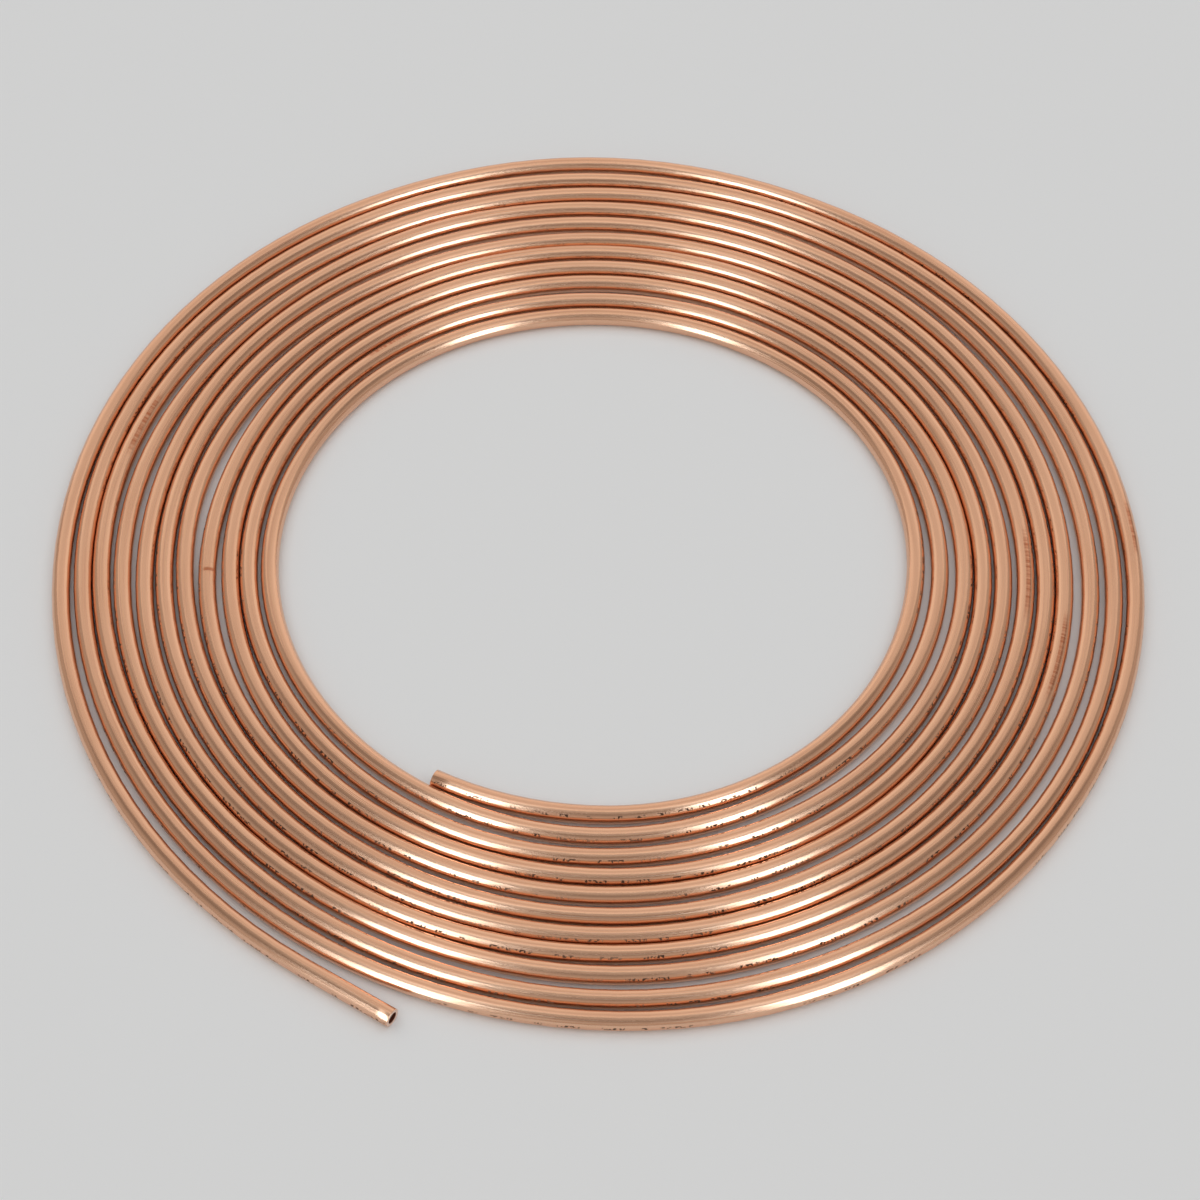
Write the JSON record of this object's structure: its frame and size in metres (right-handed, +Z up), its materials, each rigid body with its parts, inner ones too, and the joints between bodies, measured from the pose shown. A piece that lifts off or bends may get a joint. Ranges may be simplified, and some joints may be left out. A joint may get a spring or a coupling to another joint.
{
  "type": "copper tube coil",
  "caption": "Flat single-layer coil of small round copper tube, hollow right through, with both cut ends open.",
  "frame": {"origin": "on the floor, under the middle of the coil's outline", "axes": "+Z up, square to the coil's flat; the outer end points towards +X and -Y"},
  "size_m": [0.2864, 0.2838, 0.0048],
  "materials": {
    "copper": "bare bright soft-drawn copper, light tan pink, a little darker in the grooves"
  },
  "bodies": {
    "root": {"tube": "copper"}
  },
  "joints": []
}
